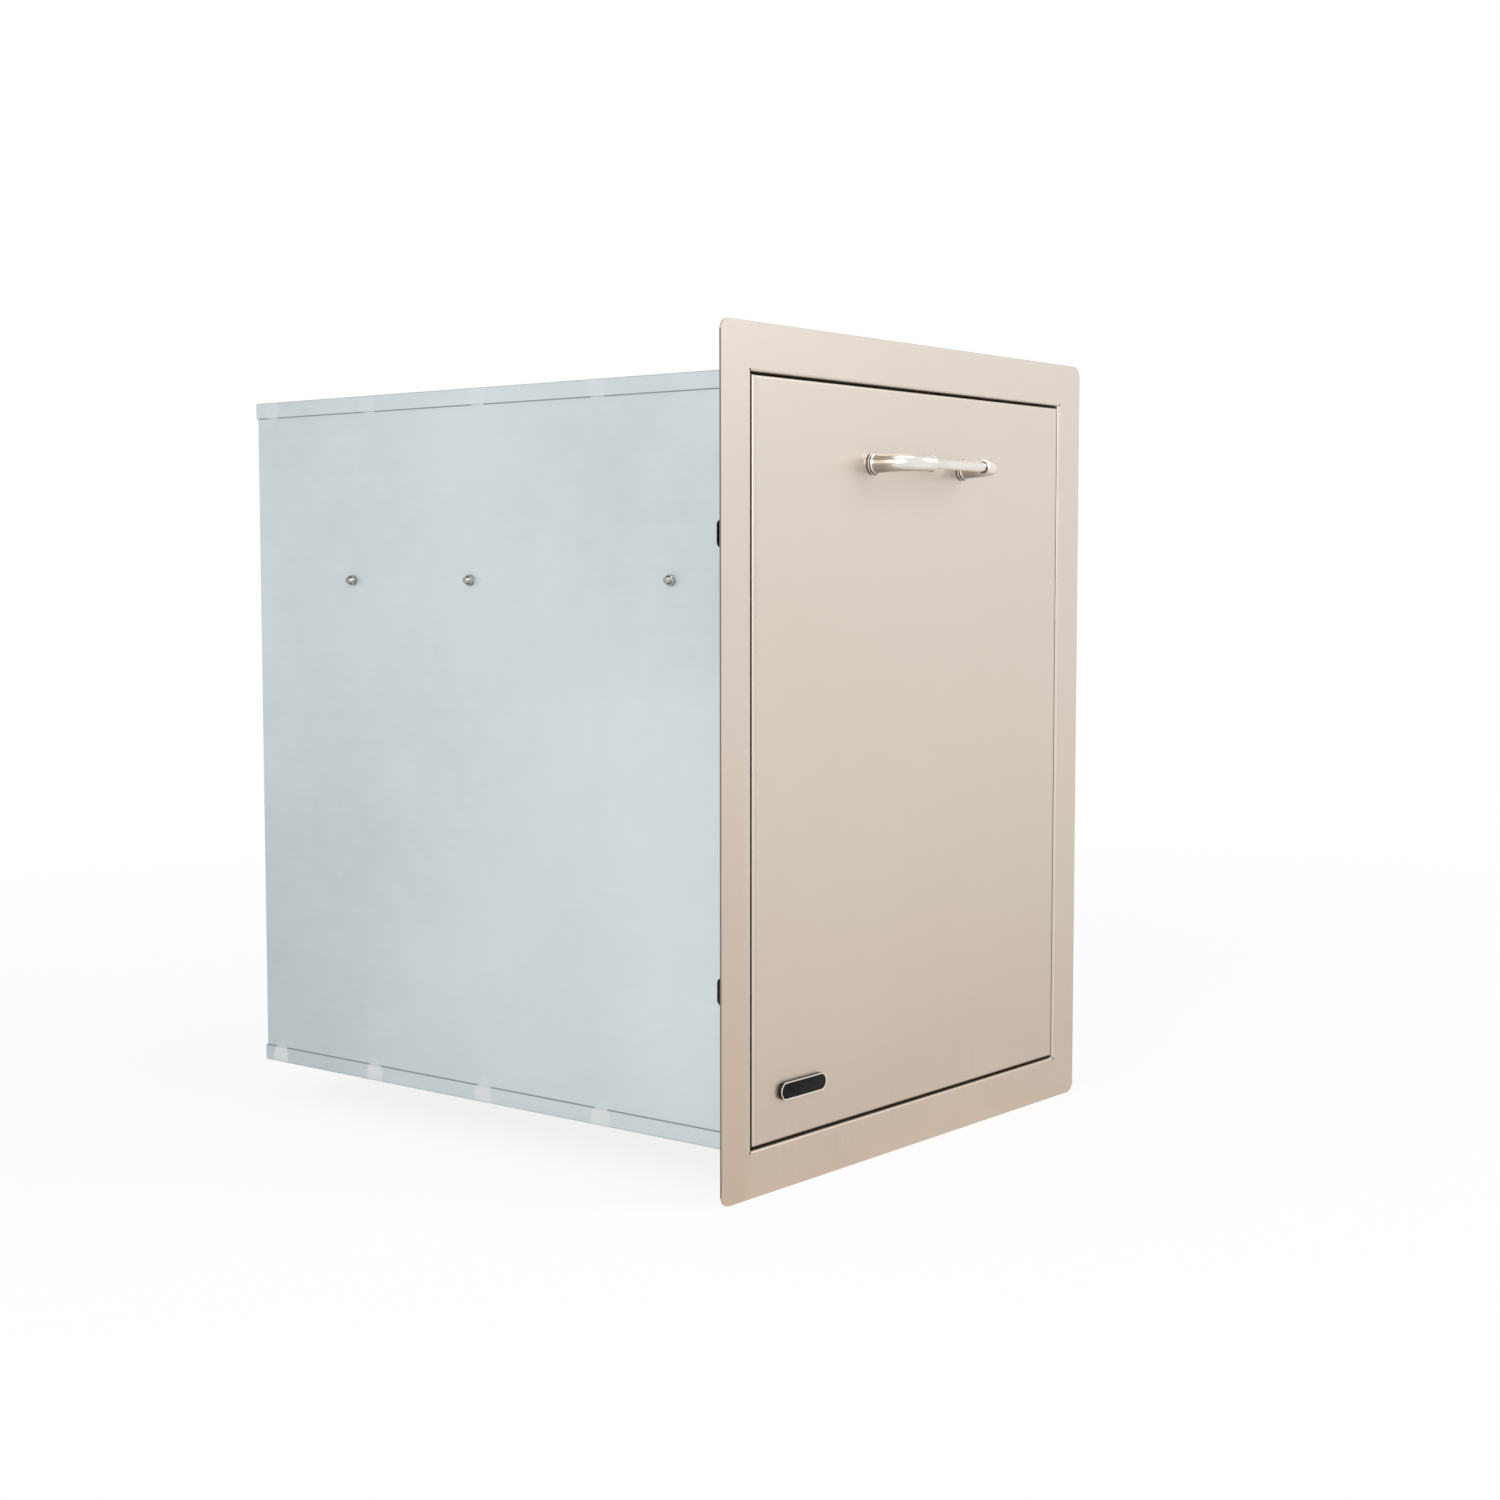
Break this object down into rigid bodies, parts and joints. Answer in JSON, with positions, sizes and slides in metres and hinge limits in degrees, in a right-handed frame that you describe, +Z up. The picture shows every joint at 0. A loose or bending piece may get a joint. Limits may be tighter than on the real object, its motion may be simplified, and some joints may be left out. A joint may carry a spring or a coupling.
{
  "type": "built-in trash drawer",
  "caption": "Built-in waste drawer with a flat stainless front and bar pull, sliding out of a galvanised housing on ball slides with hanging lift-out bins.",
  "frame": {"origin": "centre of the front frame's back face, in the plane of the wall around the cut-out", "axes": "+X right along the front, +Y into the wall, +Z up"},
  "size_m": [0.51, 0.6084, 0.66],
  "materials": {
    "brushed_stainless": "brushed stainless steel sheet, grain up and down",
    "galvanised_sheet": "galvanised sheet, pale and even",
    "zinc_plated_steel": "bright zinc plating on cold-rolled steel",
    "ball_steel": "polished bearing steel",
    "fastener_steel": "zinc-plated fasteners",
    "polished_handle": "polished metal",
    "badge_metal": "bright rim with dark painted sides",
    "badge_black": "plain black inlay",
    "black_rubber": "moulded rubber",
    "lever_plastic": "moulded plastic",
    "bin_plastic": "moulded polypropylene, fine texture"
  },
  "bodies": {
    "housing": {"front_frame": "brushed_stainless", "housing_left_side": "galvanised_sheet", "housing_right_side": "galvanised_sheet", "housing_top_cap": "galvanised_sheet", "housing_bottom_cap": "galvanised_sheet", "housing_back": "galvanised_sheet", "slide_outer_left": "zinc_plated_steel", "slide_outer_right": "zinc_plated_steel", "slide_wall_screws": "fastener_steel", "slide_wall_nuts": "fastener_steel", "slide_bumpers": "black_rubber"},
    "slide_middles": {"slide_middle_left": "zinc_plated_steel", "slide_middle_right": "zinc_plated_steel"},
    "outer_cages": {"outer_cage_left": "zinc_plated_steel", "outer_cage_right": "zinc_plated_steel", "outer_balls": "ball_steel"},
    "inner_cages": {"inner_cage_left": "zinc_plated_steel", "inner_cage_right": "zinc_plated_steel", "inner_balls": "ball_steel"},
    "drawer": {"door_pan": "brushed_stainless", "door_liner": "brushed_stainless", "handle_elbows": "polished_handle", "handle_bar": "polished_handle", "handle_screws": "fastener_steel", "badge_plate": "badge_metal", "badge_inlay": "badge_black", "slide_inner_left": "zinc_plated_steel", "slide_inner_right": "zinc_plated_steel", "rail_left": "galvanised_sheet", "rail_right": "galvanised_sheet", "cross_rail_front": "galvanised_sheet", "cross_rail_rear": "galvanised_sheet", "cross_divider": "galvanised_sheet", "gusset_left": "galvanised_sheet", "gusset_right": "galvanised_sheet", "rail_screws": "fastener_steel", "rail_nuts": "fastener_steel", "door_screws": "fastener_steel", "lever_pivots": "fastener_steel"},
    "left_lever": {"release_lever_left": "lever_plastic"},
    "right_lever": {"release_lever_right": "lever_plastic"},
    "front_bin": {"bin_front": "bin_plastic"},
    "rear_bin": {"bin_rear": "bin_plastic"}
  },
  "joints": [
    {"name": "drawer_slide", "type": "slide", "parent": "housing", "child": "drawer", "axis": [0, -1, 0], "range_m": [0, 0.5]},
    {"name": "middle_travel", "type": "slide", "parent": "housing", "child": "slide_middles", "axis": [0, -1, 0], "range_m": [0, 0.25]},
    {"name": "outer_cage_travel", "type": "slide", "parent": "housing", "child": "outer_cages", "axis": [0, -1, 0], "range_m": [0, 0.125]},
    {"name": "inner_cage_travel", "type": "slide", "parent": "housing", "child": "inner_cages", "axis": [0, -1, 0], "range_m": [0, 0.375]},
    {"name": "left_lever_turn", "type": "hinge", "parent": "drawer", "child": "left_lever", "pos_m": [-0.2113, 0.35, 0.139], "axis": [1, 0, 0], "range_deg": [0, 8]},
    {"name": "right_lever_turn", "type": "hinge", "parent": "drawer", "child": "right_lever", "pos_m": [0.2113, 0.35, 0.139], "axis": [1, 0, 0], "range_deg": [-8, 0]},
    {"name": "front_bin_lift", "type": "slide", "parent": "drawer", "child": "front_bin", "axis": [0, 0, 1], "range_m": [0, 0.11]},
    {"name": "rear_bin_lift", "type": "slide", "parent": "drawer", "child": "rear_bin", "axis": [0, 0, 1], "range_m": [0, 0.11]}
  ],
  "couplings": [
    {"joint": "middle_travel", "follows": "drawer_slide", "ratio": 0.5},
    {"joint": "outer_cage_travel", "follows": "drawer_slide", "ratio": 0.25},
    {"joint": "inner_cage_travel", "follows": "drawer_slide", "ratio": 0.75}
  ]
}
